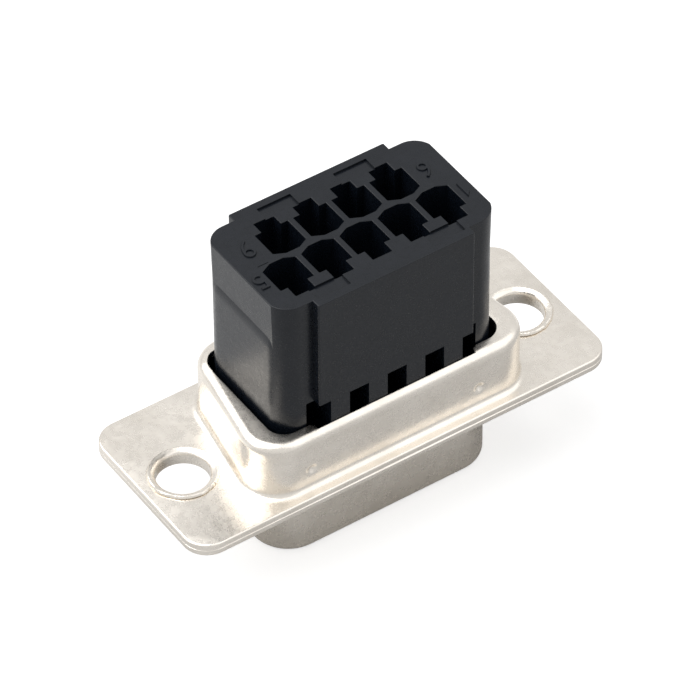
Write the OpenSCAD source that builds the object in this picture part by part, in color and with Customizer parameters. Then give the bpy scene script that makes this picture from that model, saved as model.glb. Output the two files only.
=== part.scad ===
// Nine-position d-sub receptacle housing for crimp contacts: two drawn steel shells riveted
// together through their mounting holes, and one moulded insulator clamped between them.
// Origin: midway between the two mounting holes, on the mating face of the flange.
// +X runs along the flange, +Y across it, +Z towards the wiring side.

/* [Flange] */
// Width of the flange
flange_w = 12.4; // [12.2:0.1:14]
// Corner radius of the flange
flange_r = 1.7; // [0.8:0.1:3]
// Thickness of each steel sheet
sheet_t = 0.45; // [0.3:0.05:0.5]
// Rounding of the sheet's outer edge
edge_r = 0.12; // [0.05:0.01:0.14]
// Bend radius where a drawn wall meets its flange
bend_r = 0.45; // [0.3:0.05:0.6]

/* [Mounting holes] */
// Distance between the two mounting holes
hole_pitch = 24.99; // [24.6:0.01:25.4]
// Distance from each mounting hole to the end of the flange
hole_edge = 2.905; // [2.6:0.005:4]
// Diameter of the bore through each rivet collar
hole_d = 3.4; // [3:0.05:3.5]
// Wall of the rivet collar
collar_t = 0.3; // [0.2:0.02:0.34]
// How far the flared collar stands above the rear flange
flare_h = 0.22; // [0.15:0.01:0.35]
// How far the flare reaches out over the rear flange
flare_reach = 0.3; // [0.2:0.02:0.4]
// Clearance of the collar in the rear shell's hole
collar_gap = 0.03; // [0.02:0.01:0.06]

/* [Mating skirt] */
// Width of the skirt at mid-height of the D
skirt_w = 16.33; // [16.2:0.01:16.5]
// Height of the skirt across the D
skirt_h = 7.9; // [7.8:0.01:8.1]
// Corner radius of the skirt
skirt_r = 2.6; // [2.2:0.1:2.9]
// Depth of the skirt below the flange
skirt_depth = 6; // [5.2:0.1:6.6]
// Lean of the two ends of every D outline, in degrees
d_angle = 10; // [8:1:12]
// Rounding of the skirt's mouth
mouth_r = 0.4; // [0.2:0.05:0.44]

/* [Rear cup] */
// Width of the cup at mid-height of the D
cup_w = 19; // [18.8:0.05:19.2]
// Height of the cup across the D
cup_h = 10.72; // [10.6:0.02:10.9]
// Corner radius of the cup
cup_r = 2.4; // [2:0.1:2.8]
// Top of the cup above the mating face
cup_top = 5.05; // [4.6:0.05:5.6]
// Outer radius of the cup's shoulder
shoulder_r = 0.65; // [0.55:0.05:0.8]
// Length of the opening in the cup's lip
lip_l = 16.9; // [16.6:0.05:17.1]
// Width of the opening in the cup's lip
lip_w = 8.66; // [8.6:0.02:8.8]
// Corner radius of the opening in the lip
lip_r = 1.25; // [0.8:0.05:1.4]
// Length of the notch sheared out of the lip on each long side
notch_l = 11.65; // [11.4:0.05:12]
// Rounding of the lip's corners at each notch
notch_r = 0.35; // [0.2:0.05:0.5]
// Place of the left dimple in the front wall, from the middle of the cup
dimple_left = 6.6; // [5.5:0.1:7]
// Place of the right dimple in the front wall, from the middle of the cup
dimple_right = 5.8; // [5.5:0.1:7]
// Height of the dimples above the rear flange
dimple_h = 1.45; // [1.2:0.05:2.2]
// Diameter of the two dimples
dimple_d = 1.1; // [0.8:0.1:1.4]
// Depth of the dimples
dimple_depth = 0.2; // [0.1:0.02:0.3]

/* [Insulator] */
// Height of the wiring face above the mating face of the flange
block_top = 15.1; // [13:0.1:17]
// Length of the block at its wiring end
block_l = 15.8; // [15.7:0.05:16]
// Width of the block at its wiring end
block_w = 8.5; // [8.4:0.02:8.56]
// Corner radius of the wiring end
block_r = 1.5; // [1:0.1:2]
// Height of the wider wiring end
band_h = 3.15; // [2:0.05:4]
// How far the flat pads on the wiring end stand out
pad_t = 0.07; // [0.03:0.01:0.15]
// Width of the flat pads on the wiring end
pad_w = 6.1; // [5:0.1:6.5]
// Height of the slope under the wiring end
slope_h = 0.85; // [0.5:0.05:1.2]
// Length of the block below the slope
waist_l = 15.2; // [15:0.05:15.4]
// Width of the block below the slope
waist_w = 8.34; // [8.2:0.02:8.4]
// Corner radius of the block below the slope
waist_r = 1.8; // [1.2:0.1:2.2]
// Length of the raised panel on each long side
panel_l = 11.34; // [10.8:0.02:11.36]
// Clearance between the insulator and the steel around it
fit_gap = 0.05; // [0.02:0.01:0.08]
// Depth of the moat between the block and the shoulder's rim
moat_depth = 2; // [1:0.1:2.8]
// Distance from the mouth of the skirt to the mating face of the nose
nose_inset = 0.4; // [0.2:0.05:0.8]

/* [Contact cavities] */
// Number of cavities in the longer row
row_count = 5; // [3:1:5]
// Distance between neighbouring cavities
pitch = 2.77; // [2.74:0.01:2.8]
// Distance between the two rows of contacts
row_gap = 2.84; // [2.8:0.01:2.9]
// Width of a cavity
cavity_w = 2.374; // [2.2:0.002:2.42]
// Wall from the middle of the block to a cavity
middle_wall = 0.116; // [0.1:0.002:0.14]
// Width of a cavity at its inner end
cavity_inner_w = 0.946; // [0.8:0.002:1.2]
// Depth of the sloped corners at a cavity's inner end
cavity_slope = 0.354; // [0.3:0.002:0.4]
// Distance from the middle of the block to the end of a cavity's wide part
cavity_reach = 2.44; // [2.4:0.01:2.6]
// Width of the latch slot in a cavity
slot_w = 1.4; // [1.2:0.02:1.5]
// Distance from the middle of the block to the end of the latch slot
slot_reach = 3.33; // [3.2:0.01:3.5]
// Height of the cavity floor above the mating face of the flange
cavity_floor = 1.5; // [1:0.1:2]
// Diameter of the contact bore below the cavity floor
contact_d = 2.1; // [1.9:0.02:2.2]
// Thickness of the nose under the contact bores
nose_floor = 1.2; // [0.8:0.1:2]
// Diameter of the pin entry holes in the mating face
entry_d = 1.25; // [1.1:0.01:1.4]
// Depth of the countersink of each entry hole
entry_sink = 0.3; // [0.2:0.02:0.4]
// Top of the latch windows above the mating face
window_top = 6.8; // [6.4:0.1:8]
// Bottom of the latch windows above the mating face
window_bottom = 2.6; // [2.4:0.1:3.4]

/* [Wiring face] */
// Depth of the shallow recesses in the wiring face
recess_depth = 0.15; // [0.08:0.01:0.25]
// Length of each recess
recess_l = 2.42; // [2:0.02:2.6]
// Distance from the middle of the block to the outer edge of a recess
recess_reach = 4.3; // [4.1:0.02:4.4]

/* [Hidden] */
$fn = 48;
STEEL = "silver";
PLASTIC = "dimgray";
ARC_STEPS = 5;           // straight steps in each arc of a section
CORNER_STEPS = 8;        // straight steps round each corner of an outline
CUT = 1;                 // how far a cutter runs past the face that it opens

// An outline is [width at mid-height, height, corner radius, lean of its ends].
// Its corners are numbered anticlockwise from the wide side's right-hand one.
FLANGE = [hole_pitch + 2 * hole_edge, flange_w, flange_r, 0];
SKIRT = [skirt_w, skirt_h, skirt_r, d_angle];
CUP = [cup_w, cup_h, cup_r, d_angle];
LIP = [lip_l, lip_w, lip_r, 0];
BAND = [block_l, block_w, block_r, 0];
WAIST = [waist_l, waist_w, waist_r, 0];

seat_z = sheet_t;                          // rear face of the front flange
rear_z = 2 * sheet_t;                      // rear face of the rear flange
bore_r = hole_d / 2;
collar_r = bore_r + collar_t;
inner_offset = -(sheet_t + fit_gap);       // insulator's face, from a shell's outer face
lip_under = cup_top - sheet_t;
// The shoulder's rim stops short of the bend inside the cup's shoulder.
bend_room = sqrt(pow(shoulder_r - sheet_t, 2) - pow(shoulder_r + inner_offset, 2));
rim_top = cup_top - shoulder_r + bend_room - fit_gap;
moat_floor = rim_top - moat_depth;
moat_step = 0.1;                           // moat's outer wall, outside the lip's edge
MOAT = grow(LIP, moat_step);
panel_w = cup_h + 2 * inner_offset;
notch_bite = 0.04;                         // how far a notch cuts into the wall's inner side
notch_w = cup_h - 2 * (sheet_t - notch_bite);
band_bottom = block_top - band_h;
slope_bottom = band_bottom - slope_h;
nose_face = -skirt_depth + nose_inset;
bore_bottom = nose_face + nose_floor;
slab = 0.01;                               // thin overlap where one solid runs into the next
lap = 0.3;                                 // how far a drawn wall's bend runs into its sheet
recess_w = recess_reach - slot_reach;

function grow(o, by) = [o[0] + 2 * by / cos(o[3]), o[1] + 2 * by, o[2] + by, o[3]];

function centre_y(o) = o[1] / 2 - o[2];
function centre_x(o, side) = o[0] / 2 - o[2] / cos(o[3]) - side * centre_y(o) * tan(o[3]);
function centres(o) = [
    [centre_x(o, -1), -centre_y(o)],
    [centre_x(o, 1), centre_y(o)],
    [-centre_x(o, 1), centre_y(o)],
    [-centre_x(o, -1), -centre_y(o)],
];
function headings(o) = [-90, o[3], 90, 180 - o[3], 270];

// Points of an arc, from angle a0 to angle a1.
function arc(c, r, a0, a1) =
    [for (i = [0:ARC_STEPS]) let (a = a0 + (a1 - a0) * i / ARC_STEPS) c + r * [cos(a), sin(a)]];

// Stations round an outline: [centre of the corner, outward direction].
function stations(o) = [
    for (i = [0:3], k = [0:CORNER_STEPS])
        let (from = headings(o)[i], to = headings(o)[i + 1], a = from + (to - from) * k / CORNER_STEPS)
            [centres(o)[i], [cos(a), sin(a)]]
];
function ring(o, by = 0) = [for (s = stations(o)) s[0] + (o[2] + by) * s[1]];

// A flat plate with the given outline.
module plate(o, z0, z1) {
    translate([0, 0, z0])
        linear_extrude(z1 - z0)
            polygon(ring(o));
}

// A sheet whose outer edge is eased on its upper side, or on its lower side.
module sheet(o, z0, z1, eased_up) {
    hull() {
        plate(o, z0 + (eased_up ? 0 : edge_r), z1 - (eased_up ? edge_r : 0));
        plate(grow(o, -edge_r), z0, z1);
    }
}

// Carries a closed section round an outline: the section's x counts outwards from it.
module sweep(o, section) {
    st = stations(o);
    n = len(st);
    m = len(section);
    points = [for (s = st, p = section) let (q = s[0] + (o[2] + p[0]) * s[1]) [q[0], q[1], p[1]]];
    faces = [
        for (i = [0:n - 1], j = [0:m - 1], half = [0, 1])
            let (a = i * m, b = ((i + 1) % n) * m, k = (j + 1) % m)
                half == 0 ? [a + j, b + k, b + j] : [a + j, a + k, b + k]
    ];
    polyhedron(points, faces);
}

module quadrants() {
    for (mx = [0, 1], my = [0, 1])
        mirror([mx, 0, 0])
            mirror([0, my, 0])
                children();
}

module at_holes() {
    for (side = [-1, 1])
        translate([side * hole_pitch / 2, 0, 0])
            children();
}

// The skirt's wall, its rounded mouth and its bend into the flange.
module skirt_wall() {
    sweep(SKIRT, concat(
        [[-sheet_t, -skirt_depth]],
        arc([-mouth_r, mouth_r - skirt_depth], mouth_r, -90, 0),
        arc([bend_r, -bend_r], bend_r, 180, 90),
        [[bend_r + lap, 0], [bend_r + lap, seat_z]],
        arc([bend_r, -bend_r], bend_r + sheet_t, 90, 180)
    ));
}

// One rivet collar: a straight bore flared over the rear flange.
module collar() {
    flare_r = collar_r + flare_reach;
    flare_top = rear_z + flare_h;
    bend_start = rear_z - collar_t / 4;
    torn_width = collar_t * 0.6;
    rim_bottom = rear_z + collar_t / 6;
    rotate_extrude()
        polygon([
            [bore_r, 0],
            [bore_r, bend_start],
            [flare_r - torn_width, flare_top],
            [flare_r, rim_bottom],
            [flare_r, rear_z],
            [collar_r, rear_z],
            [collar_r, 0],
        ]);
}

module front_shell() {
    color(STEEL) {
        difference() {
            sheet(FLANGE, 0, seat_z, false);
            plate(grow(SKIRT, bend_r), -CUT, seat_z + CUT);
            at_holes()
                translate([0, 0, -CUT])
                    cylinder(h = seat_z + 2 * CUT, r = collar_r);
        }
        skirt_wall();
        at_holes()
            collar();
    }
}

// The cup's wall, with its bend into the flange and its rounded shoulder.
module cup_wall() {
    foot = [bend_r, rear_z + bend_r];
    crown = [-shoulder_r, cup_top - shoulder_r];
    sweep(CUP, concat(
        [[bend_r + lap, seat_z], [bend_r + lap, rear_z]],
        arc(foot, bend_r, 270, 180),
        arc(crown, shoulder_r, 0, 90),
        [[-shoulder_r - lap, cup_top], [-shoulder_r - lap, lip_under]],
        arc(crown, shoulder_r - sheet_t, 90, 0),
        arc(foot, bend_r + sheet_t, 180, 270)
    ));
}

// Everything that the lip leaves open: its long opening and the two sheared notches.
module lip_opening() {
    z0 = cup_top - shoulder_r;
    plate(LIP, z0, cup_top + CUT);
    translate([-notch_l / 2, -notch_w / 2, z0])
        cube([notch_l, notch_w, shoulder_r + CUT]);
    quadrants()
        translate([notch_l / 2, lip_w / 2, z0])
            linear_extrude(shoulder_r + CUT)
                polygon(concat([[-slab, -slab]], arc([notch_r, notch_r], notch_r, 270, 180)));
}

// Conical dents pressed into the cup's front wall, towards the insulator.
module dimples() {
    bottom_d = dimple_d / 4;
    for (x = [-dimple_left, dimple_right])
        translate([x, -cup_h / 2, rear_z + dimple_h])
            rotate([-90, 0, 0])
                cylinder(h = dimple_depth, d1 = dimple_d, d2 = bottom_d);
}

module rear_shell() {
    color(STEEL)
        difference() {
            union() {
                difference() {
                    sheet(FLANGE, seat_z, rear_z, true);
                    plate(grow(CUP, bend_r), -CUT, rear_z + CUT);
                    at_holes()
                        cylinder(h = rear_z + CUT, r = collar_r + collar_gap);
                }
                cup_wall();
                plate(grow(CUP, -shoulder_r), lip_under, cup_top);
            }
            lip_opening();
            dimples();
        }
}

// The part of the block above the cup: waist, slope and wider wiring end.
module block() {
    plate(WAIST, seat_z, slope_bottom);
    hull() {
        plate(WAIST, slope_bottom, slope_bottom + slab);
        plate(BAND, band_bottom - slab, band_bottom);
    }
    plate(BAND, band_bottom, block_top);
    translate([-block_l / 2 - pad_t, -pad_w / 2, band_bottom])
        cube([block_l + 2 * pad_t, pad_w, band_h]);
    translate([-panel_l / 2, -panel_w / 2, moat_floor])
        cube([panel_l, panel_w, block_top - moat_floor]);
}

// One cavity for a crimp contact. It opens at the wiring face, and side is its row's.
module cavity() {
    inner = middle_wall;
    outline = [
        [cavity_inner_w / 2, inner],
        [cavity_w / 2, inner + cavity_slope],
        [cavity_w / 2, cavity_reach],
        [slot_w / 2, cavity_reach],
        [slot_w / 2, slot_reach],
    ];
    mirrored = [for (i = [len(outline) - 1:-1:0]) [-outline[i][0], outline[i][1]]];
    translate([0, 0, cavity_floor])
        linear_extrude(block_top - cavity_floor + CUT)
            polygon(concat(outline, mirrored));
    translate([-slot_w / 2, slot_reach - slab, window_bottom])
        cube([slot_w, panel_w / 2 - slot_reach + CUT, window_top - window_bottom]);
    translate([0, row_gap / 2, 0]) {
        translate([0, 0, bore_bottom])
            cylinder(h = cavity_floor - bore_bottom + slab, d = contact_d);
        translate([0, 0, nose_face - CUT])
            cylinder(h = nose_floor + CUT + slab, d = entry_d);
        translate([0, 0, nose_face - slab])
            cylinder(h = entry_sink + slab, r1 = entry_d / 2 + entry_sink, r2 = entry_d / 2);
    }
}

module row(count, side) {
    for (i = [0:count - 1])
        translate([(i - (count - 1) / 2) * pitch, 0, 0])
            mirror([0, side < 0 ? 1 : 0, 0])
                cavity();
}

// Shallow recesses in the wiring face, beyond the latch slots of both rows. Those of the
// shorter row stand one pitch from the middle, and those of the longer row one and a half.
module recesses() {
    for (mx = [0, 1], my = [0, 1])
        mirror([mx, 0, 0])
            mirror([0, my, 0])
                translate([pitch * (1 + my / 2) - recess_l / 2, slot_reach, block_top - recess_depth])
                    cube([recess_l, recess_w, recess_depth + CUT]);
}

module insulator() {
    color(PLASTIC)
        difference() {
            union() {
                plate(grow(SKIRT, inner_offset), nose_face, seat_z);
                difference() {
                    plate(grow(CUP, inner_offset), seat_z, rim_top);
                    plate(MOAT, moat_floor, rim_top + CUT);
                }
                block();
            }
            row(row_count, -1);
            row(row_count - 1, 1);
            recesses();
        }
}

front_shell();
rear_shell();
insulator();
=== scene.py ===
"""Looks of a nine-position d-sub receptacle: two plated steel shells and one moulded insulator."""

import logging
from dataclasses import dataclass, field
from enum import Enum
from math import cos, pi, radians, sin, tan

import bmesh
import bpy
import numpy as np
from mathutils import Matrix, Vector
from mathutils.geometry import delaunay_2d_cdt


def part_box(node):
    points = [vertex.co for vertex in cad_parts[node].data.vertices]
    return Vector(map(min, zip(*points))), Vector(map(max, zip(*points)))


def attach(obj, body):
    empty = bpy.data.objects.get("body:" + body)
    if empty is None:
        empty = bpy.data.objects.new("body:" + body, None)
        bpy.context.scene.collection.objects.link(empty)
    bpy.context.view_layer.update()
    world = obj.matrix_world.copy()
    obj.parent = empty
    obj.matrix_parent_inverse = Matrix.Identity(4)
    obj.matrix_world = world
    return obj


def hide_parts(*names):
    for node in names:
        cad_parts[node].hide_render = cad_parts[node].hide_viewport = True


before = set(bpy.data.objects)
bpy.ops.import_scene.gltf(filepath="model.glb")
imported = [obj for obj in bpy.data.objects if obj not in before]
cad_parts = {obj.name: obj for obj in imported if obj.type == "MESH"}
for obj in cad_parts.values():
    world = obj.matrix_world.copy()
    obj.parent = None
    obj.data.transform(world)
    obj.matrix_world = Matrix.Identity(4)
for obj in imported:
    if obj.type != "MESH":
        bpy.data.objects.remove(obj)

LOG = logging.getLogger("d_sub")
MM = 0.001
WELD = 1e-7
CDT_INSIDE = 1
PAST = 0.3
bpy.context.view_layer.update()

Socket = bpy.types.NodeSocket
Colour = tuple[float, float, float]


class Node(Enum):
    """The CAD nodes that the pieces stand for."""

    FRONT = "front_shell"
    REAR = "rear_shell"
    INSULATOR = "insulator"


class Slot(Enum):
    """The record's material slots."""

    STEEL = "plated_steel"
    PLASTIC = "black_plastic"


def node_box(node: Node) -> tuple[np.ndarray, np.ndarray]:
    """Lowest and highest corner of a CAD node, in millimetres."""
    low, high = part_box(node.value)
    return np.array(low) / MM, np.array(high) / MM


def smooth(t: np.ndarray) -> np.ndarray:
    """Smoothstep of t, 3t^2 - 2t^3, with t held to 0..1."""
    t = np.clip(t, 0.0, 1.0)
    return t * t * (3.0 - 2.0 * t)


def arc(
    centre: tuple[float, float], radius: float, start: float, end: float, steps: int
) -> np.ndarray:
    """Points of an arc: centre + radius * (cos a, sin a), with a going evenly from start to end.

    Args:
        centre: centre of the arc.
        radius: its radius.
        start: first angle, in degrees.
        end: last angle, in degrees.
        steps: number of straight steps.

    Returns:
        An array of shape (steps + 1, 2).
    """
    a = np.radians(np.linspace(start, end, steps + 1))
    return np.array(centre) + radius * np.column_stack([np.cos(a), np.sin(a)])


def circle(x: float, y: float, radius: float, steps: int = 64) -> np.ndarray:
    """Closed loop of a circle about (x, y)."""
    return arc((x, y), radius, 0, 360, steps)[:-1]


def box_loop(x0: float, x1: float, y0: float, y1: float) -> np.ndarray:
    """Closed loop of a rectangle, anticlockwise."""
    return np.array([(x0, y0), (x1, y0), (x1, y1), (x0, y1)])


def layered(loops: list[np.ndarray], heights: list[float]) -> np.ndarray:
    """Lifts (n, 2) loops of equal length to one height each, as (loops, n, 3) points."""
    return np.stack([np.column_stack([loop, np.full(len(loop), z)]) for loop, z in zip(loops, heights)])


def wobble(count: int, waves: int, seed: int) -> np.ndarray:
    """Smooth noise round a closed loop: a sum of sines with seeded phases and falling heights.

    Args:
        count: number of samples round the loop.
        waves: highest number of waves in one turn.
        seed: seed of the phases and heights.

    Returns:
        Values from about -1 to 1.
    """
    rng = np.random.default_rng(seed)
    k = np.arange(1, waves + 1)[:, None]
    phase = rng.uniform(0, 2 * pi, (waves, 1))
    height = rng.uniform(0.3, 1.0, (waves, 1)) / np.sqrt(k)
    turn = np.linspace(0, 2 * pi, count, endpoint=False)[None, :]
    total = (height * np.sin(k * turn + phase)).sum(axis=0)
    return total / np.abs(total).max()


def within(points: np.ndarray, loop: np.ndarray) -> np.ndarray:
    """Whether points lie inside a closed loop, by counting the edges that a ray along +X crosses.

    Args:
        points: (n, 2) points.
        loop: (m, 2) corners.

    Returns:
        (n,) truth values.
    """
    a, b = loop[None], np.roll(loop, -1, axis=0)[None]
    x, y = points[:, 0:1], points[:, 1:2]
    spans = (a[..., 1] > y) != (b[..., 1] > y)
    rise = np.where(b[..., 1] == a[..., 1], 1.0, b[..., 1] - a[..., 1])
    crossing = a[..., 0] + (y - a[..., 1]) / rise * (b[..., 0] - a[..., 0])
    return (spans & (x < crossing)).sum(axis=1) % 2 == 1


def mitred(loop: np.ndarray, by: float) -> np.ndarray:
    """Moves an anticlockwise loop outwards: p + by * (n0 + n1) / (1 + n0 . n1) at each corner.

    Args:
        loop: (n, 2) points.
        by: distance, negative for inwards.

    Returns:
        The moved loop, (n, 2).
    """
    edge = np.roll(loop, -1, axis=0) - loop
    edge /= np.linalg.norm(edge, axis=1, keepdims=True)
    normal = np.column_stack([edge[:, 1], -edge[:, 0]])
    before = np.roll(normal, 1, axis=0)
    return loop + by * (normal + before) / (1 + (normal * before).sum(axis=1, keepdims=True))


def softened(loop: np.ndarray, reach: float, steps: int = 4) -> np.ndarray:
    """Rounds every corner of a loop with the curve (1-t)^2 A + 2t(1-t) V + t^2 B.

    Args:
        loop: (n, 2) corners V.
        reach: distance of A and B from each corner, along its two edges.
        steps: straight steps in each corner.

    Returns:
        The rounded loop, (n * (steps + 1), 2).
    """
    def towards(other: np.ndarray) -> np.ndarray:
        way = other - loop
        length = np.linalg.norm(way, axis=1, keepdims=True)
        return loop + way / length * np.minimum(reach, 0.45 * length)

    t = np.linspace(0, 1, steps + 1)[None, :, None]
    first = towards(np.roll(loop, 1, axis=0))[:, None]
    last = towards(np.roll(loop, -1, axis=0))[:, None]
    return ((1 - t) ** 2 * first + 2 * t * (1 - t) * loop[:, None] + t ** 2 * last).reshape(-1, 2)


@dataclass(frozen=True)
class Outline:
    """A rounded trapezoid, symmetric about X = 0, whose wide side faces -Y."""

    width: float
    height: float
    radius: float
    lean: float = 0.0

    def centres(self) -> np.ndarray:
        """Centres of the four corner arcs, anticlockwise from the wide side's right-hand one."""
        y = self.height / 2 - self.radius
        mid = self.width / 2 - self.radius / cos(radians(self.lean))
        near, far = mid + y * tan(radians(self.lean)), mid - y * tan(radians(self.lean))
        return np.array([[near, -y], [far, y], [-far, y], [-near, -y]])

    def stations(
        self, turns: int = 14, spacing: float = 0.6, stops: tuple[float, ...] = ()
    ) -> tuple[np.ndarray, np.ndarray]:
        """Stations round the outline, where corners turn about their centres and sides slide.

        Args:
            turns: steps in each corner.
            spacing: largest step along the sides.
            stops: X values at which both long sides also get a station.

        Returns:
            Base points on the lines between corner centres, and outward unit normals, both (n, 2).
        """
        centres = self.centres()
        heading = np.radians([-90.0, self.lean, 90.0, 180.0 - self.lean, 270.0])
        bases, normals = [], []
        for i in range(4):
            a = np.linspace(heading[i], heading[i + 1], turns + 1)
            bases.append(np.repeat(centres[i:i + 1], len(a), axis=0))
            normals.append(np.column_stack([np.cos(a), np.sin(a)]))
            here, there = centres[i], centres[(i + 1) % 4]
            t = np.linspace(0, 1, max(2, int(np.ceil(np.linalg.norm(there - here) / spacing))) + 1)
            if i % 2 and stops:
                extra = (np.array(stops) - here[0]) / (there[0] - here[0])
                t = np.unique(np.round(np.concatenate([t, extra[(extra > 0) & (extra < 1)]]), 7))
            t = t[1:-1, None]
            bases.append(here + t * (there - here))
            normals.append(np.repeat(normals[-1][-1:], len(t), axis=0))
        return np.concatenate(bases), np.concatenate(normals)

    def ring(self, by: float = 0.0, turns: int = 14, spacing: float = 0.6) -> np.ndarray:
        """Points of the outline moved outwards by a distance: base + (radius + by) * normal."""
        base, normal = self.stations(turns, spacing)
        return base + (self.radius + by) * normal


def spread(section: np.ndarray, base: np.ndarray, normal: np.ndarray, radius: float) -> np.ndarray:
    """Carries sections round stations: point = base + (radius + u) * normal, at height z.

    Args:
        section: (n, m, 2) sections of (u, z), one for each station, or (m, 2) for all.
        base: (n, 2) base points.
        normal: (n, 2) outward normals.
        radius: radius that u counts from.

    Returns:
        (m, n, 3) points, whose rows run round the outline.
    """
    if section.ndim == 2:
        section = np.repeat(section[None], len(base), axis=0)
    level = base[:, None, :] + (radius + section[..., 0:1]) * normal[:, None, :]
    return np.concatenate([level, section[..., 1:2]], axis=-1).transpose(1, 0, 2)


class Patchwork:
    """Collects surface patches in millimetres and welds them into one closed mesh."""

    def __init__(self) -> None:
        """Starts with no patch."""
        self.points: list[np.ndarray] = []
        self.faces: list[np.ndarray] = []
        self.count = 0

    def add(self, points: np.ndarray, faces: np.ndarray) -> None:
        """Adds one patch of (n, 3) points and (m, 3) or (m, 4) faces."""
        self.points.append(points)
        self.faces.append(faces + self.count)
        self.count += len(points)

    def grid(self, rows: np.ndarray) -> None:
        """Adds a wall of quads through rows of points, each row a closed loop.

        Args:
            rows: (rows, columns, 3) points.
        """
        count, cols = rows.shape[:2]
        r, c = np.mgrid[0:count - 1, 0:cols]
        nxt = (c + 1) % cols
        here, above = r * cols, (r + 1) * cols
        quads = np.stack([here + c, here + nxt, above + nxt, above + c], axis=-1)
        self.add(rows.reshape(-1, 3), quads.reshape(-1, 4))

    def fan(self, loop: np.ndarray) -> None:
        """Closes a convex loop of (n, 3) points with triangles about its middle."""
        n = len(loop)
        i = np.arange(n)
        faces = np.column_stack([i, (i + 1) % n, np.full(n, n)])
        self.add(np.vstack([loop, loop.mean(axis=0)]), faces)

    def flat(self, loops: list[np.ndarray], z: float) -> None:
        """Adds a level face: the first loop is its outside and the others are holes in it.

        Args:
            loops: closed loops, each (n, 2).
            z: height of the face.
        """
        starts = np.cumsum([0] + [len(loop) for loop in loops])
        edges = [
            (int(s + i), int(s + (i + 1) % len(loop)))
            for s, loop in zip(starts, loops) for i in range(len(loop))
        ]
        corners = [Vector(p) for p in np.concatenate(loops)]
        out = delaunay_2d_cdt(corners, edges, [], CDT_INSIDE, WELD)
        level, faces = np.array([tuple(p) for p in out[0]]), np.array([list(f) for f in out[2]])
        middle = level[faces].mean(axis=1)
        for hole in loops[1:]:
            inside = within(middle, hole)
            faces, middle = faces[~inside], middle[~inside]
        self.add(np.column_stack([level, np.full(len(level), z)]), faces)

    def tower(self, loops: list[np.ndarray], heights: list[float]) -> None:
        """Adds a closed solid through loops of equal length, one at each height, with flat ends."""
        self.grid(layered(loops, heights))
        self.flat([loops[0]], heights[0])
        self.flat([loops[-1]], heights[-1])

    def build(self, name: str) -> bpy.types.Object:
        """Welds the patches into one object at the origin, in metres, with faces turned outwards.

        Args:
            name: name of the object and its mesh.

        Returns:
            The linked object.
        """
        mesh = bpy.data.meshes.new(name)
        faces = [tuple(face) for block in self.faces for face in block.tolist()]
        mesh.from_pydata((np.concatenate(self.points) * MM).tolist(), [], faces)
        piece = bpy.data.objects.new(name, mesh)
        bpy.context.collection.objects.link(piece)
        weld(mesh)
        return piece


def weld(mesh: bpy.types.Mesh) -> None:
    """Merges doubled points, drops faces without area and turns all faces outwards."""
    bm = bmesh.new()
    bm.from_mesh(mesh)
    bmesh.ops.remove_doubles(bm, verts=bm.verts, dist=WELD)
    bmesh.ops.dissolve_degenerate(bm, edges=bm.edges, dist=WELD)
    bmesh.ops.recalc_face_normals(bm, faces=bm.faces)
    open_edges = sum(1 for edge in bm.edges if len(edge.link_faces) != 2)
    bm.to_mesh(mesh)
    bm.free()
    LOG.info("%s: %d faces, %d open edges", mesh.name, len(mesh.polygons), open_edges)


def shade(piece: bpy.types.Object, angle: float = 35.0) -> None:
    """Shades a piece smooth between edges sharper than an angle, with flat faces kept flat.

    Args:
        piece: the object.
        angle: smallest angle of a sharp edge, in degrees.
    """
    piece.data.shade_smooth()
    piece.data.set_sharp_from_angle(angle=radians(angle))
    flat = piece.modifiers.new("flat_faces", "WEIGHTED_NORMAL")
    flat.mode = "FACE_AREA"
    flat.weight = 100
    flat.keep_sharp = True


def combine(piece: bpy.types.Object, other: bpy.types.Object, operation: str) -> None:
    """Joins another solid to a piece or cuts it away, and removes the other.

    Args:
        piece: the object that is changed.
        other: one or more closed solids that don't cross each other.
        operation: UNION or DIFFERENCE.
    """
    step = piece.modifiers.new("step", "BOOLEAN")
    step.object = other
    step.operation = operation
    step.solver = "EXACT"
    graph = bpy.context.evaluated_depsgraph_get()
    done = bpy.data.meshes.new_from_object(piece.evaluated_get(graph))
    piece.modifiers.clear()
    old, name = piece.data, piece.data.name
    piece.data = done
    bpy.data.meshes.remove(old)
    done.name = name
    bpy.data.meshes.remove(other.data)
    weld(done)


@dataclass
class Gauge:
    """Sizes that the pieces share, in millimetres. The CAD boxes give the heights and the reach."""

    sheet: float = 0.45
    bend: float = 0.45
    edge: float = 0.13
    hole_pitch: float = 24.99
    bore: float = 1.7
    collar_wall: float = 0.3
    fit: float = 0.05
    lean: float = 10.0
    flange_corner: float = 1.7
    skirt_size: tuple[float, float, float] = (16.33, 7.9, 2.6)
    cup_width: float = 19.0
    cup_corner: float = 2.4
    flange: Outline = field(init=False)
    skirt: Outline = field(init=False)
    cup: Outline = field(init=False)

    def __post_init__(self) -> None:
        """Reads the heights and overall sizes off the CAD nodes."""
        front_low, front_high = node_box(Node.FRONT)
        rear_low, rear_high = node_box(Node.REAR)
        plastic_low, plastic_high = node_box(Node.INSULATOR)
        self.mouth_z, self.flare_z = front_low[2], front_high[2]
        self.seat_z, self.cup_z = rear_low[2], rear_high[2]
        self.rear_z = self.seat_z + self.sheet
        self.nose_z, self.wiring_z = plastic_low[2], plastic_high[2]
        self.panel_y = plastic_high[1]
        cup_height = 2 * (self.panel_y + self.sheet + self.fit)
        self.flange = Outline(*(front_high - front_low)[:2], self.flange_corner)
        self.skirt = Outline(*self.skirt_size, self.lean)
        self.cup = Outline(self.cup_width, cup_height, self.cup_corner, self.lean)
        self.collar_outer = self.bore + self.collar_wall

    def hole_x(self, side: int) -> float:
        """X of the left (-1) or right (1) mounting hole."""
        return side * self.hole_pitch / 2


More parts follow.
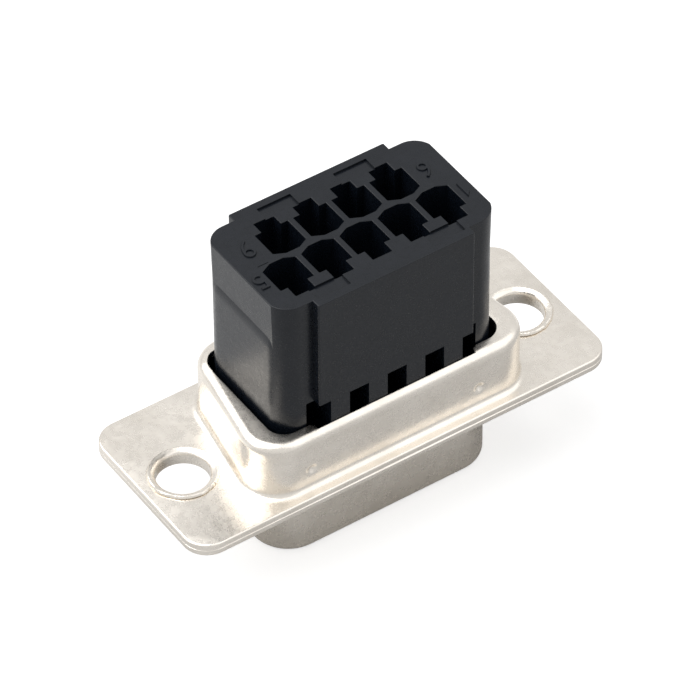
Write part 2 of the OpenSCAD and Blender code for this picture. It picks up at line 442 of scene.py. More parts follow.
@dataclass(frozen=True)
class FlangeEdge:
    """Edge of one flange sheet: a rolled outward corner, and a fine chamfer at the other sheet."""

    chamfer: float = 0.03
    swell: float = 0.05
    reach: float = 6.5

    def rows(self, gauge: Gauge, outward: float, facing: float) -> np.ndarray:
        """Rows of the edge, from its outward face round to the face that meets the other sheet.

        The outward corner is a quarter circle. The chamfer grows towards the middle of the long
        sides, by swell * exp(-(x / reach)^2), where the two sheets part a little.

        Args:
            gauge: the shared sizes.
            outward: height of the outward face.
            facing: height of the face that meets the other sheet.

        Returns:
            (rows, n, 3) points.
        """
        base, normal = gauge.flange.stations(spacing=0.4)
        x = (base + gauge.flange.radius * normal)[:, 0]
        chamfer = self.chamfer + self.swell * np.exp(-(x / self.reach) ** 2)
        sign = np.sign(outward - facing)
        corner = arc((-gauge.edge, outward - sign * gauge.edge), gauge.edge, 90 * sign, 0, 6)
        side = np.stack([np.zeros(len(base)), facing + sign * chamfer], axis=-1)[:, None]
        under = np.stack([-chamfer, np.full(len(base), facing)], axis=-1)[:, None]
        section = np.concatenate([np.repeat(corner[None], len(base), axis=0), side, under], axis=1)
        return spread(section, base, normal, gauge.flange.radius)


@dataclass
class FrontShell:
    """The drawn shell on the mating side: flange, D-shaped skirt and two rivet collars."""

    gauge: Gauge
    mouth: float = 0.38
    inner_edge: float = 0.04
    entry: float = 0.16
    flare_out: float = 0.42
    flare_start: float = 0.1
    flare_turn: float = 76.0
    lip_width: float = 0.14
    tear: tuple[float, float] = (0.045, 0.03)
    tear_waves: tuple[int, int] = (60, 11)
    tear_seeds: tuple[int, int] = (11, 31)

    def skirt_section(self) -> np.ndarray:
        """Section (u, z) of the skirt, from the mating face round the mouth and up its inside."""
        g = self.gauge
        heel, inner = (g.bend, -g.bend), self.inner_edge
        wall = np.column_stack([np.zeros(5), np.linspace(-g.bend, g.mouth_z + self.mouth, 7)[1:-1]])
        return np.concatenate([
            arc(heel, g.bend, 90, 180, 8),
            wall,
            arc((-self.mouth, g.mouth_z + self.mouth), self.mouth, 0, -90, 8),
            arc((inner - g.sheet, g.mouth_z + inner), inner, -90, -180, 2),
            arc(heel, g.bend + g.sheet, 180, 90, 8),
        ])

    def collar_rows(self, side: int, steps: int = 224) -> np.ndarray:
        """Rows of one collar: an eased bore, a trumpet-shaped flare and its torn rim.

        The flare is a quarter ellipse. The rim's radius is moved by two seeded waves, one fine
        and one broad, each row by its own share.

        Args:
            side: -1 for the left collar and 1 for the right one.
            steps: points round each row.

        Returns:
            (rows, steps, 3) points.
        """
        g = self.gauge
        kinds = zip(self.tear, self.tear_waves, self.tear_seeds)
        tear = sum(height * wobble(steps, waves, seed + side) for height, waves, seed in kinds)
        start, lift = g.rear_z - self.flare_start, g.flare_z - g.rear_z
        bell = np.radians(np.linspace(0, self.flare_turn, 9))
        bell_r = g.bore + self.flare_out * (1 - np.cos(bell)) / (1 - np.cos(bell[-1])) * 0.9
        bell_z = start + (lift * 0.93 + self.flare_start) * np.sin(bell) / np.sin(bell[-1])
        # The rim: how far out from the bell's end, its share of the lift, and its share of the tear.
        lip = self.lip_width
        rim = [(0.03, 1.0, 0.7), (0.08, 0.9, 1.0), (lip, 0.5, 1.2), (lip + 0.01, 0.28, 1.1)]
        eased = arc((g.bore + self.entry, self.entry), self.entry, 270, 180, 5)
        rows = [
            *[(r, z, 0.0) for r, z in eased],
            (g.bore, g.seat_z, 0.0),
            *[(r, z, share) for r, z, share in zip(bell_r, bell_z, np.linspace(0, 0.45, 9))],
            *[(bell_r[-1] + out, g.rear_z + lift * high, share) for out, high, share in rim],
            (bell_r[-1] + lip * 0.5, g.rear_z + 0.015, 0.5),
            (g.collar_outer + 0.02, g.rear_z + 0.01, 0.0),
            (g.collar_outer, g.rear_z - g.fit, 0.0),
            (g.collar_outer, g.seat_z, 0.0),
        ]
        r, z, share = (np.array(column)[:, None] for column in zip(*rows))
        turn = np.linspace(0, 2 * pi, steps, endpoint=False)
        radius = r + share * tear
        height = np.minimum(z + 0.5 * share * tear * (z > g.rear_z + g.fit), g.flare_z)
        x, y = g.hole_x(side) + radius * np.cos(turn), radius * np.sin(turn)
        return np.stack([x, y, height], axis=-1)

    def build(self) -> bpy.types.Object:
        """Builds the shell as one closed mesh."""
        g = self.gauge
        patches = Patchwork()
        stations = g.skirt.stations(turns=20, spacing=0.5)
        skirt = spread(self.skirt_section(), *stations, g.skirt.radius)
        edge = FlangeEdge().rows(g, outward=0.0, facing=g.seat_z)
        collars = [self.collar_rows(side) for side in (-1, 1)]
        for rows in (skirt, edge, *collars):
            patches.grid(rows)
        for end, z in ((0, 0.0), (-1, g.seat_z)):
            patches.flat([rows[end, :, :2] for rows in (edge, skirt, *collars)], z)
        piece = patches.build("mating_shell")
        shade(piece)
        return piece


@dataclass
class RearShell:
    """The drawn shell on the wiring side: flange and a low D-shaped cup with an inward lip."""

    gauge: Gauge
    shoulder: float = 0.65
    lip: Outline = Outline(16.66, 8.66, 1.2)
    lip_edge: float = 0.05
    lip_tear: float = 0.008
    lip_search: tuple[float, float] = (-0.3, -2.2)
    halvings: int = 40
    notch_half: float = 5.825
    notch_round: float = 0.35
    collar_gap: float = 0.03
    dent_places: tuple[float, float] = (-6.6, 5.8)
    dent_lift: float = 1.45
    dent_radius: float = 0.45
    dent_depth: float = 0.24

    def opening(self, points: np.ndarray) -> np.ndarray:
        """Signed distance to the lip's opening: a rounded slot and a wide notch, with a fillet.

        With a the distance to the slot, b the distance to the notch and k the fillet's radius,
        it is max(k, min(a, b)) - |max(k - (a, b), 0)|.

        Args:
            points: (..., 2) places.

        Returns:
            Distances, negative inside the opening.
        """
        x, y = np.abs(points[..., 0]), np.abs(points[..., 1])
        qx = x - (self.lip.width / 2 - self.lip.radius)
        qy = y - (self.lip.height / 2 - self.lip.radius)
        slot = np.hypot(np.maximum(qx, 0), np.maximum(qy, 0)) - self.lip.radius
        slot += np.minimum(np.maximum(qx, qy), 0)
        notch = np.maximum(x - self.notch_half, y - (self.gauge.cup.height / 2 - self.gauge.sheet))
        k = self.notch_round
        corner = np.hypot(np.maximum(k - slot, 0), np.maximum(k - notch, 0))
        return np.maximum(k, np.minimum(slot, notch)) - corner

    def lip_reach(self, base: np.ndarray, normal: np.ndarray) -> np.ndarray:
        """Where the lip ends at each station, counted from the cup's outer face, by halving."""
        outer, inner = (np.full(len(base), end) for end in self.lip_search)
        for _ in range(self.halvings):
            middle = (outer + inner) / 2
            solid = self.opening(base + (self.gauge.cup.radius + middle)[:, None] * normal) > 0
            outer, inner = np.where(solid, middle, outer), np.where(solid, inner, middle)
        return outer + self.lip_tear * wobble(len(base), waves=90, seed=5)

    def dent(self, base: np.ndarray, normal: np.ndarray, z: np.ndarray) -> np.ndarray:
        """Inward push at each dimple, a smooth cone: depth * smoothstep(1 - distance / radius).

        Args:
            base: (n, 2) base points.
            normal: (n, 2) normals.
            z: (m,) heights.

        Returns:
            (n, m) offsets, zero or below.
        """
        x = (base + self.gauge.cup.radius * normal)[:, 0][:, None]
        front = (normal[:, 1] < -0.9)[:, None]
        push = np.zeros((len(base), len(z)))
        for place in self.dent_places:
            away = np.hypot(x - place, z[None, :] - self.gauge.rear_z - self.dent_lift)
            push -= self.dent_depth * smooth(1 - away / self.dent_radius) * front
        return push

    def section(self, base: np.ndarray, normal: np.ndarray) -> np.ndarray:
        """Section (u, z) at each station: foot, wall, shoulder, lip, and back down the inside.

        Args:
            base: (n, 2) base points.
            normal: (n, 2) normals.

        Returns:
            (n, m, 2) sections. Where the opening cuts into the shoulder, the rows of the lip's
            top draw together at the cut.
        """
        g = self.gauge
        count = len(base)
        foot = (g.bend, g.rear_z + g.bend)
        crown = np.array([-self.shoulder, g.cup_z - self.shoulder])
        inner_r = self.shoulder - g.sheet
        reach = self.lip_reach(base, normal)

        def same(points: np.ndarray) -> np.ndarray:
            return np.repeat(points[None], count, axis=0)

        def pair(u: np.ndarray, z: np.ndarray) -> np.ndarray:
            return np.stack(np.broadcast_arrays(u, z), axis=-1)

        def bow(radius: float, angle: np.ndarray) -> np.ndarray:
            return crown + radius * pair(np.cos(angle), np.sin(angle))

        z = np.linspace(foot[1], crown[1], 34)[1:-1]
        wall = pair(self.dent(base, normal, z), z[None, :])
        steep = np.arccos(inner_r / self.shoulder)
        last = np.arccos(np.clip(1 + reach / self.shoulder, 0, inner_r / self.shoulder))
        t = np.linspace(0, 1, 6)[None, :]
        high = bow(self.shoulder, steep + (last - steep)[:, None] * t[:, 1:])
        end_u, end_z = high[:, -1, 0:1], high[:, -1, 1:2]
        run = np.minimum(reach[:, None] + self.lip_edge - end_u, 0)
        top = pair(end_u + run * np.array([[0.5, 1.0]]), end_z)
        rim_a = np.radians([[30.0, 60.0, 90.0]])
        start_u = end_u + run
        rim_u = start_u + (reach[:, None] - start_u) * np.sin(rim_a)
        rim = pair(rim_u, end_z - self.lip_edge * (1 - np.cos(rim_a)))
        first = np.arccos(np.clip((self.shoulder + reach) / inner_r, 0, 1))
        under_z = crown[1] + inner_r * np.sin(first)[:, None]
        under = pair(np.stack([reach, np.maximum(reach, -self.shoulder)], axis=-1), under_z)
        inner = bow(inner_r, first[:, None] * (1 - t[:, 1:]))
        heel, toe = arc(foot, g.bend, 270, 180, 8), arc(foot, g.bend + g.sheet, 180, 270, 8)
        low = arc(tuple(crown), self.shoulder, 0, np.degrees(steep), 9)
        rows = [same(heel), wall, same(low), high, top, rim, under, inner, same(toe)]
        return np.concatenate(rows, axis=1)

    def build(self) -> bpy.types.Object:
        """Builds the shell as one closed mesh."""
        g = self.gauge
        patches = Patchwork()
        turn = self.notch_half + self.notch_round * (1 - np.cos(np.radians(np.linspace(0, 90, 8))))
        # Two stations close together keep the notch's end upright.
        stops = (self.notch_half - 0.004, self.notch_half + 0.0005, *turn[1:])
        stations = g.cup.stations(turns=24, spacing=0.12, stops=(*stops, *[-x for x in stops]))
        cup = spread(self.section(*stations), *stations, g.cup.radius)
        edge = FlangeEdge().rows(g, outward=g.rear_z, facing=g.seat_z)
        holes = [circle(g.hole_x(side), 0, g.collar_outer + self.collar_gap) for side in (-1, 1)]
        for rows in (cup, edge, *[layered([hole] * 2, [g.seat_z, g.rear_z]) for hole in holes]):
            patches.grid(rows)
        for end, z in ((0, g.rear_z), (-1, g.seat_z)):
            patches.flat([edge[end, :, :2], cup[end, :, :2], *holes], z)
        piece = patches.build("wiring_shell")
        shade(piece)
        return piece


@dataclass
class Insulator:
    """The moulded block: nose, clamped rim, straight block with its bosses and panels, and cavities."""

    gauge: Gauge
    form: Outline = Outline(15.94, 8.5, 1.5)
    moat: Outline = Outline(17.1, 8.86, 1.35)
    flat_half: float = 3.2
    pad_lean: float = 0.07
    pad_drop: float = 2.95
    block_foot: float = 1.0
    boss_side: float = 0.1
    boss_sink: float = 0.004
    boss_rise: float = 0.04
    boss_drop: float = 0.12
    boss_ease: tuple[float, float] = (1.1, 0.8)
    boss_foot: float = 2.0
    boss_wall: float = 0.6
    panel_half: float = 5.67
    ease: float = 0.06
    panel_round: float = 0.1
    rim_z: float = 4.4823
    moat_depth: float = 2.0
    nose_ease: float = 0.25
    pitch: float = 2.77
    row_gap: float = 2.84
    cavity_floor: float = 1.5
    slot_half: float = 0.7
    slot_reach: float = 3.33
    well_half: float = 1.187
    well_reach: float = 2.44
    well_turn: float = 0.47
    well_point: tuple[float, float] = (0.473, 0.116)
    mouth_ease: float = 0.035
    bore: float = 1.05
    bore_start: float = 1.2
    entry: float = 0.625
    entry_sink: float = 0.3
    windows: tuple[float, float] = (2.6, 6.8)
    recess_half: float = 1.21
    recess_reach: float = 4.3
    recess_depth: float = 0.15
    mark: tuple[float, float, float, float] = (-6.75, -6.0, 0.0, 0.05)
    mark_depth: float = 0.06
    crease: float = 12.0

    def edge_x(self, y: np.ndarray) -> np.ndarray:
        """X of the end at y: half length - r + sqrt(r^2 - (|y| - start of the corner)^2)."""
        r = self.form.radius
        over = np.clip(np.abs(y) - (self.form.height / 2 - r), 0, r)
        return self.form.width / 2 - r + np.sqrt(r * r - over * over)

    def loop(self, lean: float = 0.0) -> np.ndarray:
        """Level outline of the block, with a flat across each end and a panel on each side.

        Args:
            lean: how far both ends stand out.

        Returns:
            (n, 2) points, anticlockwise.
        """
        half_w, r = self.form.height / 2, self.form.radius
        panel_y, ease = self.gauge.panel_y + 0.002, self.panel_round
        turn = np.degrees(np.arcsin((self.flat_half - (half_w - r)) / r))
        corner = arc((self.form.width / 2 - r + lean, -(half_w - r)), r, -90, -turn, 12)
        quarter = np.concatenate([
            arc((self.panel_half - ease, -panel_y + ease), ease, -90, 0, 3),
            [(self.panel_half, -half_w), (self.panel_half + 0.06, -half_w)],
            corner,
            [(corner[-1, 0], 0.0)],
        ])
        right = np.concatenate([quarter, quarter[-2::-1] * [1, -1]])
        return np.concatenate([right, -right])

    def block(self) -> Patchwork:
        """The block: straight below, with end flats that lean out to an eased top edge."""
        top, turn = self.gauge.wiring_z, np.radians(np.linspace(0, 90, 9))
        foot = top - self.pad_drop
        lean = np.append(0.0, self.pad_lean * (1 - self.ease * (1 - np.sin(turn)) / self.pad_drop))
        edge = [mitred(self.loop(k), -self.ease * (1 - cos(a))) for k, a in zip(lean, [0.0, *turn])]
        heights = [self.block_foot, foot, *[top - self.ease * (1 - sin(a)) for a in turn]]
        patches = Patchwork()
        patches.tower([self.loop(), *edge], heights)
        return patches

    def bosses(self) -> Patchwork:
        """The ends below the flats, which swell out over an eased upper border.

        X = edge + rise * (1 - (1 - u)^2) - drop * (1 - t)^2, where u and t go from 0 to 1 over the
        easing widths, from the sides inwards and from the flat downwards. Its loops lie inside
        each other in Y and Z, and the last one is level in X.
        """
        top, half = self.gauge.wiring_z - self.pad_drop, self.flat_half + self.boss_side
        wide, tall = self.boss_ease
        way = np.linspace(0, 1, 28)[1:-1, None]
        over, down = (1 - np.cos(pi * way)) / 2, way ** 2
        rows = []
        for inset in (-1.0, *np.linspace(0, 1, 16)):
            k = max(inset, 0.0)
            y1, r = half - wide * k, 0.02 + 0.3 * k
            z1, z0 = top + 0.03 - (tall + 0.05) * k, self.boss_foot + 0.5 * k
            centres = ((y1 - r, z1 - r), (r - y1, z1 - r), (r - y1, z0 + r), (y1 - r, z0 + r))
            a, b, c, d = (arc(middle, r, 90 * i, 90 * i + 90, 8) for i, middle in enumerate(centres))
            y, z = np.concatenate([
                a, a[-1] + over * (b[0] - a[-1]), b, b[-1] + down * (c[0] - b[-1]),
                c, d, a[0] + down[::-1] * (d[-1] - a[0]),
            ]).T
            u, t = np.clip((half - np.abs(y)) / wide, 0, 1), np.clip((top - z) / tall, 0, 1)
            x = self.edge_x(y) - self.boss_sink + (self.boss_rise + self.boss_sink) * (1 - (1 - u) ** 2)
            x = x - self.boss_drop * (1 - t) ** 2 - self.boss_wall * (inset < 0)
            rows.append(np.stack([x, y, z], axis=-1))
        ends = Patchwork()
        for side in (-1, 1):
            ends.grid(np.stack(rows) * [side, 1, 1])
            for row in (rows[0], rows[-1]):
                ends.fan(row * [side, 1, 1])
        return ends

    def nose(self) -> Patchwork:
        """The D-shaped nose inside the skirt, with a rounded front edge."""
        g = self.gauge
        inset = -(g.sheet + g.fit)
        turn = np.radians(np.linspace(90, 0, 10))
        loops = [g.skirt.ring(inset - self.nose_ease * (1 - cos(a))) for a in turn]
        heights = [g.nose_z + self.nose_ease * (1 - sin(a)) for a in turn]
        patches = Patchwork()
        patches.tower([*loops, g.skirt.ring(inset)], [*heights, g.seat_z + 0.3])
        return patches

    def places(self) -> list[tuple[float, int]]:
        """Place along X and row of each cavity: -1 is the row at -Y and 1 the row at +Y."""
        rows = ((-1, 5), (1, 4))
        return [((i - (n - 1) / 2) * self.pitch, side) for side, n in rows for i in range(n)]

    def cavities(self) -> list[Patchwork]:
        """Cutters of all cavities: keyed wells with eased mouths, contact bores, pin entries, windows.

        The wells take the contacts, the entries are countersunk in the mating face, and the windows
        run from the latch slots out through both long sides.
        """
        low, top = self.gauge.nose_z, self.gauge.wiring_z
        half = np.array([
            (self.slot_half, self.slot_reach), (self.slot_half, self.well_reach),
            (self.well_half, self.well_reach), (self.well_half, self.well_turn), self.well_point,
        ])
        outline = softened(np.concatenate([half, half[::-1] * [-1, 1]])[::-1], 0.05)
        wells, bores, entries, windows = cuts = [Patchwork() for _ in range(4)]
        for x, side in self.places():
            y = side * self.row_gap / 2
            well = outline * side + [x, 0]
            mouth = mitred(well, self.mouth_ease)
            heights = [self.cavity_floor, top - self.mouth_ease, top, top + PAST]
            wells.tower([well, well, mouth, mouth], heights)
            bore = circle(x, y, self.bore, 48)
            bores.tower([bore, bore], [low + self.bore_start, self.cavity_floor + 0.1])
            entry, wide = (circle(x, y, self.entry + sink, 48) for sink in (0.0, self.entry_sink))
            heights = [low - PAST, low, low + self.entry_sink, low + self.bore_start + 0.1]
            entries.tower([wide, wide, entry, entry], heights)
            near, far = sorted((side * (self.slot_reach - 0.2), side * (self.gauge.panel_y + PAST)))
            window = box_loop(x - self.slot_half, x + self.slot_half, near, far)
            windows.tower([window, window], list(self.windows))
        return cuts

    def recesses(self) -> Patchwork:
        """Shallow recesses beyond the latch slots, and one fine mark beside the longer row."""
        top = self.gauge.wiring_z
        cuts = Patchwork()
        for side, pitches in ((-1, 1.5), (1, 1.0)):
            for hand in (-1, 1):
                x = hand * self.pitch * pitches
                near, far = sorted((side * (self.slot_reach - 0.06), side * self.recess_reach))
                loop = box_loop(x - self.recess_half, x + self.recess_half, near, far)
                cuts.tower([softened(loop, 0.04)] * 2, [top - self.recess_depth, top + PAST])
        cuts.tower([box_loop(*self.mark)] * 2, [top - self.mark_depth, top + PAST])
        return cuts

    def build(self) -> bpy.types.Object:
        """Cuts the moat into the rim, joins nose and block to it, and cuts the cavities last."""
        g = self.gauge
        rim, moat = Patchwork(), Patchwork()
        ring = g.cup.ring(-(g.sheet + g.fit))
        rim.tower([ring, ring], [g.seat_z, self.rim_z])
        moat.tower([self.moat.ring()] * 2, [self.rim_z - self.moat_depth, self.rim_z + PAST])
        piece = rim.build("insulator_block")
        combine(piece, moat.build("moat"), "DIFFERENCE")
        combine(piece, self.nose().build("nose"), "UNION")
        block = self.block().build("block")
        combine(block, self.bosses().build("bosses"), "UNION")
        combine(piece, block, "UNION")
        for cuts in (*self.cavities(), self.recesses()):
            combine(piece, cuts.build("cuts"), "DIFFERENCE")
        shade(piece, self.crease)
        return piece


class Digit(Enum):
    """The position numbers moulded on the wiring face, as (x, y, height) about their middles."""

    FIVE = (-7.31, -1.19, 1.2)
    NINE = (-6.45, 1.61, 1.4)
    SIX = (6.38, 1.45, 1.3)
    ONE = (7.25, -1.30, 1.1)


@dataclass
class Numerals:
    """Small raised position numbers, which read with their tops towards -Y."""

    gauge: Gauge
    stroke: float = 0.19
    slope: float = 0.03
    root: float = 0.01
    rise: float = 0.1

    def strokes(self, digit: Digit) -> list[np.ndarray]:
        """Lines of a digit in a box one high: straight runs, and arcs about the bowl's centre."""
        ring = arc((0, -0.22), 0.22, 0, 360, 24)
        tail = np.array([(0.16, 0.5), (0.0, 0.36), (-0.13, 0.16), (-0.21, -0.08), (-0.22, -0.24)])
        if digit is Digit.SIX:
            return [ring, tail]
        if digit is Digit.NINE:
            return [-ring, -tail]
        if digit is Digit.FIVE:
            flag = np.array([(0.24, 0.46), (-0.15, 0.46), (-0.2, 0.0)])
            return [flag, arc((0, -0.2), 0.27, 128, -138, 18)]
        return [np.array([(-0.16, 0.3), (0.0, 0.48), (0.0, -0.5)])]

    def raised(self, patches: Patchwork, line: np.ndarray) -> None:
        """Adds one stroke: its line is given a width by mitred normals and raised with eased sides.

        Args:
            patches: patchwork of all strokes.
            line: (n, 2) points; a line that ends where it starts makes a ring.
        """
        low, top = self.gauge.wiring_z - self.root, self.gauge.wiring_z + self.rise
        widths = (self.stroke / 2, self.stroke / 2, self.stroke / 2 - self.slope)
        heights = [low, top - self.rise * 0.5, top]
        if np.allclose(line[0], line[-1]):
            middle = line[:-1].mean(axis=0)
            way = (line[:-1] - middle) / np.linalg.norm(line[:-1] - middle, axis=1, keepdims=True)
            outer, inner = ([line[:-1] + sign * half * way for half in widths] for sign in (1, -1))
            for loops in (outer, inner):
                patches.grid(layered(loops, heights))
            for k in (0, -1):
                patches.flat([outer[k], inner[k]], heights[k])
            return
        way = np.diff(line, axis=0)
        way /= np.linalg.norm(way, axis=1, keepdims=True)
        before, after = np.vstack([way[:1], way]), np.vstack([way, way[-1:]])
        across = np.column_stack([-(before + after)[:, 1], (before + after)[:, 0]])
        across /= 1 + (before * after).sum(axis=1, keepdims=True)
        sides = [(line + half * across, (line - half * across)[::-1]) for half in widths]
        patches.tower([np.concatenate(pair) for pair in sides], heights)

    def build(self) -> bpy.types.Object:
        """Builds all digits, each turned by half a turn about its middle."""
        piece = None
        for digit in Digit:
            x, y, height = digit.value
            for line in self.strokes(digit):
                patches = Patchwork()
                self.raised(patches, np.array([x, y]) - line * height)
                stroke = patches.build("stroke" if piece else "position_numbers")
                if piece:
                    combine(piece, stroke, "UNION")
                else:
                    piece = stroke
        shade(piece)
        return piece


class Graph:
    """Short-hand for wiring a node material."""

    def __init__(self, name: str) -> None:
        """Makes an empty material with a surface shader and Object coordinates."""
        self.material = bpy.data.materials.new(name)
        self.material.use_nodes = True
        self.tree = self.material.node_tree
        self.tree.nodes.clear()
        self.output = self.tree.nodes.new("ShaderNodeOutputMaterial")
        self.shader = self.tree.nodes.new("ShaderNodeBsdfPrincipled")
        self.tree.links.new(self.shader.outputs["BSDF"], self.output.inputs["Surface"])
        self.place = self.tree.nodes.new("ShaderNodeTexCoord").outputs["Object"]

    def link(self, source: Socket, target: Socket) -> None:
        """Links two sockets."""
        self.tree.links.new(source, target)

    def noise(self, scale: float, detail: float, rough: float) -> Socket:
        """Noise over Object coordinates, where scale counts features in each metre.

        Args:
            scale: features in a metre.
            detail: octaves.
            rough: weight of the finer octaves.

        Returns:
            The noise value's socket.
        """
        node = self.tree.nodes.new("ShaderNodeTexNoise")
        node.inputs["Scale"].default_value = scale
        node.inputs["Detail"].default_value = detail
        node.inputs["Roughness"].default_value = rough
        self.link(self.place, node.inputs["Vector"])
        return node.outputs["Fac"]

    def ramp(self, source: Socket, stops: list[tuple[float, Colour]]) -> Socket:
        """Colours a value by a ramp of (position, colour) stops."""
        node = self.tree.nodes.new("ShaderNodeValToRGB")
        while len(node.color_ramp.elements) < len(stops):
            node.color_ramp.elements.new(0.5)
        for element, (position, colour) in zip(node.color_ramp.elements, stops):
            element.position = position
            element.color = (*colour, 1.0)
        self.link(source, node.inputs["Fac"])
        return node.outputs["Color"]

    def span(
        self, source: Socket, low: float, high: float, start: float = 0.3, end: float = 0.7
    ) -> Socket:
        """Maps a value from start..end to low..high, held to that range."""
        node = self.tree.nodes.new("ShaderNodeMapRange")
        names = ("From Min", "From Max", "To Min", "To Max")
        for name, value in zip(names, (start, end, low, high)):
            node.inputs[name].default_value = value
        self.link(source, node.inputs["Value"])
        return node.outputs["Result"]

    def maths(self, operation: str, *values: Socket | float) -> Socket:
        """A Math node over sockets and numbers."""
        node = self.tree.nodes.new("ShaderNodeMath")
        node.operation = operation
        for socket, value in zip(node.inputs, values):
            if isinstance(value, float):
                socket.default_value = value
            else:
                self.link(value, socket)
        return node.outputs["Value"]

    def split(self) -> tuple[Socket, ...]:
        """The X, Y and Z of the Object coordinates."""
        node = self.tree.nodes.new("ShaderNodeSeparateXYZ")
        self.link(self.place, node.inputs["Vector"])
        return tuple(node.outputs)

    def relief(self, layers: list[tuple[Socket, float]]) -> None:
        """Adds bump layers, each a height socket and the distance in metres of a height of 1."""
        last = None
        for height, distance in layers:
            node = self.tree.nodes.new("ShaderNodeBump")
            node.inputs["Distance"].default_value = distance
            self.link(height, node.inputs["Height"])
            if last:
                self.link(last, node.inputs["Normal"])
            last = node.outputs["Normal"]
        self.link(last, self.shader.inputs["Normal"])


@dataclass(frozen=True)
class Finish:
    """A clouded, grained skin. Each noise is (features in a metre, octaves, weight of the finer)."""

    name: str
    colours: tuple[Colour, Colour]
    mottle: tuple[float, float]
    roughness: tuple[float, float]
    cloud: tuple[float, float, float]
    sheen: tuple[float, float, float]
    grain: tuple[float, float, float]
    relief: tuple[float, float]
    metallic: float = 0.0
    gloss: float = 0.5

    def material(self) -> bpy.types.Material:
        """Builds the node material, with the cloud in its colour and relief."""
        g = Graph(self.name)
        cloud, sheen, grain = (g.noise(*kind) for kind in (self.cloud, self.sheen, self.grain))
        tint = g.ramp(cloud, list(zip(self.mottle, self.colours)))
        g.link(tint, g.shader.inputs["Base Color"])
        g.link(g.span(sheen, *self.roughness), g.shader.inputs["Roughness"])
        g.shader.inputs["Metallic"].default_value = self.metallic
        g.shader.inputs["Specular IOR Level"].default_value = self.gloss
        g.relief(list(zip((cloud, grain), self.relief)))
        return g.material


NICKEL_PLATE = Finish(
    "nickel_plate", colours=((0.80, 0.75, 0.68), (0.88, 0.83, 0.76)), mottle=(0.32, 0.62),
    roughness=(0.22, 0.34), cloud=(420, 5, 0.6), sheen=(1900, 4, 0.65), grain=(5200, 3, 0.6),
    relief=(4e-5, 6e-6), metallic=1.0,
)
CHARCOAL_PLASTIC = Finish(
    "charcoal_plastic", colours=((0.0035, 0.0055, 0.0095), (0.0055, 0.0078, 0.0125)),
    mottle=(0.35, 0.68), roughness=(0.24, 0.34), cloud=(700, 4, 0.6), sheen=(3000, 4, 0.6),
    grain=(9000, 2, 0.5), relief=(1.5e-5, 4e-6), gloss=0.38,
)


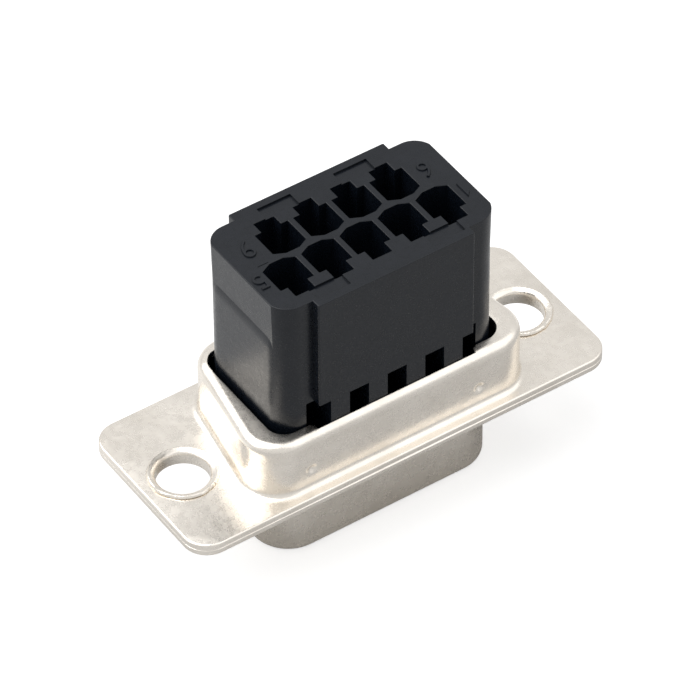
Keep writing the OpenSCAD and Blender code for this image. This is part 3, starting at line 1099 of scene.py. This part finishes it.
@dataclass
class Studio:
    """Floor, soft lamps, white surround and camera."""

    floor_z: float
    azimuth: float = -34.041
    elevation: float = 44.121
    roll: float = -0.394
    distance: float = 370.204
    aim: tuple[float, float] = (-0.1485, 2.6056)
    aim_z: float = 0.9
    lens: float = 308.571
    floor_reach: float = 1500.0
    floor_drop: float = 0.02
    floor_grey: float = 0.65
    floor_white: float = 0.62
    # Painted light on the floor that only reflections see: its strength, and the run along +Y over
    # which it rises from none.
    floor_painted_glow: tuple[float, float] = (0.35, 0.014)
    surround: float = 0.40

    def camera(self) -> None:
        """Places the camera, with back = (sin a cos e, -cos a cos e, sin e) turned by the roll."""
        a, e, r = (radians(v) for v in (self.azimuth, self.elevation, self.roll))
        back = Vector((sin(a) * cos(e), -cos(a) * cos(e), sin(e)))
        right = (-back).cross(Vector((0, 0, 1))).normalized()
        up = right.cross(-back)
        across, over = right * cos(r) + up * sin(r), -right * sin(r) + up * cos(r)
        middle = across * self.aim[0] + over * self.aim[1] + Vector((0, 0, self.aim_z))
        place = (back * self.distance + middle) * MM
        data = bpy.data.cameras.new("camera")
        data.lens, data.sensor_width = self.lens, 36.0
        data.clip_start, data.clip_end = 0.01, 10.0
        camera = bpy.data.objects.new("camera", data)
        turned = Matrix((across, over, back)).transposed().to_4x4()
        camera.matrix_world = Matrix.Translation(place) @ turned
        bpy.context.collection.objects.link(camera)
        bpy.context.scene.camera = camera

    def floor(self) -> None:
        """A pale floor, which shows as white where no shadow falls on it.

        Reflections see a painted glow on it: none at -Y, standing in for the shade in front of the
        object, rising to full strength over a run along +Y, standing in for lit floor behind it.
        """
        patch = Patchwork()
        reach = self.floor_reach
        patch.flat([box_loop(-reach, reach, -reach, reach)], self.floor_z - self.floor_drop)
        piece = patch.build("floor")
        g = Graph("pale_floor")
        g.shader.inputs["Base Color"].default_value = (*[self.floor_grey] * 3, 1.0)
        g.shader.inputs["Roughness"].default_value = 0.9
        g.shader.inputs["Specular IOR Level"].default_value = 0.0
        rays = g.tree.nodes.new("ShaderNodeLightPath").outputs
        seen = g.maths("MAXIMUM", rays["Is Camera Ray"], rays["Is Transmission Ray"])
        # Painted shade and light in reflections: the floor glows for glossy rays only towards +Y, so
        # metal facing -Y reflects a darker floor.
        strength, run = self.floor_painted_glow
        far = g.span(g.split()[1], 0.0, strength, 0.0, run)
        painted_glow = g.maths("MULTIPLY", rays["Is Glossy Ray"], far)
        g.shader.inputs["Emission Color"].default_value = (1.0, 1.0, 1.0, 1.0)
        glow = g.maths("ADD", g.maths("MULTIPLY", seen, self.floor_white), painted_glow)
        g.link(glow, g.shader.inputs["Emission Strength"])
        piece.data.materials.append(g.material)

    def world(self) -> None:
        """A white surround: full white to the camera and to reflections, softer as a light."""
        world = bpy.data.worlds.new("studio")
        bpy.context.scene.world = world
        world.use_nodes = True
        tree = world.node_tree
        tree.nodes.clear()
        rays = tree.nodes.new("ShaderNodeLightPath").outputs
        seen = rays["Is Camera Ray"]
        for kind in ("Is Transmission Ray", "Is Glossy Ray"):
            either = tree.nodes.new("ShaderNodeMath")
            either.operation = "MAXIMUM"
            tree.links.new(seen, either.inputs[0])
            tree.links.new(rays[kind], either.inputs[1])
            seen = either.outputs[0]
        mix = tree.nodes.new("ShaderNodeMixShader")
        tree.links.new(seen, mix.inputs["Fac"])
        for socket, strength in ((1, self.surround), (2, 1.0)):
            part = tree.nodes.new("ShaderNodeBackground")
            part.inputs["Strength"].default_value = strength
            tree.links.new(part.outputs[0], mix.inputs[socket])
        output = tree.nodes.new("ShaderNodeOutputWorld")
        tree.links.new(mix.outputs[0], output.inputs["Surface"])

    def lamp(
        self, name: str, azimuth: float, elevation: float, size: float, power: float, far: float
    ) -> None:
        """One square soft box that faces the object.

        Args:
            name: name of the lamp.
            azimuth: heading of the lamp, in degrees from -Y towards +X.
            elevation: its height angle, in degrees.
            size: side of the square, in metres.
            power: in watts.
            far: its distance, in metres.
        """
        a, e = radians(azimuth), radians(elevation)
        back = Vector((sin(a) * cos(e), -cos(a) * cos(e), sin(e)))
        data = bpy.data.lights.new(name, "AREA")
        data.shape, data.size, data.energy = "SQUARE", size, power
        lamp = bpy.data.objects.new(name, data)
        turned = back.to_track_quat("Z", "Y").to_matrix().to_4x4()
        lamp.matrix_world = Matrix.Translation(back * far) @ turned
        bpy.context.collection.objects.link(lamp)

    def build(self) -> None:
        """Sets up the whole studio."""
        self.camera()
        self.floor()
        self.world()
        self.lamp("key", azimuth=-125.0, elevation=58.0, size=0.70, power=3.2, far=0.55)
        self.lamp("fill", azimuth=50.0, elevation=50.0, size=0.40, power=0.3, far=0.35)
        bpy.context.scene.view_settings.view_transform = "Standard"


@dataclass(frozen=True)
class Dressing:
    """How one piece is finished and what it stands for."""

    piece: bpy.types.Object
    material: bpy.types.Material
    slot: Slot
    replaces: Node | None = None

    def put_on(self) -> None:
        """Gives the piece its material and its body, and hides the node that it replaces."""
        self.piece.data.materials.clear()
        self.piece.data.materials.append(self.material)
        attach(self.piece, "root")
        if self.replaces:
            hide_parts(self.replaces.value)
        LOG.info("%s dressed in %s", self.piece.name, self.material.name)


def main() -> None:
    """Builds the pieces in order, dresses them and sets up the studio."""
    logging.basicConfig(level=logging.INFO, format="%(name)s: %(message)s")
    gauge = Gauge()
    steel, plastic = NICKEL_PLATE.material(), CHARCOAL_PLASTIC.material()
    for dressing in (
        Dressing(FrontShell(gauge).build(), steel, Slot.STEEL, Node.FRONT),
        Dressing(RearShell(gauge).build(), steel, Slot.STEEL, Node.REAR),
        Dressing(Insulator(gauge).build(), plastic, Slot.PLASTIC, Node.INSULATOR),
        Dressing(Numerals(gauge).build(), plastic, Slot.PLASTIC),
    ):
        dressing.put_on()
    Studio(gauge.mouth_z).build()


if __name__ == "__main__":
    main()
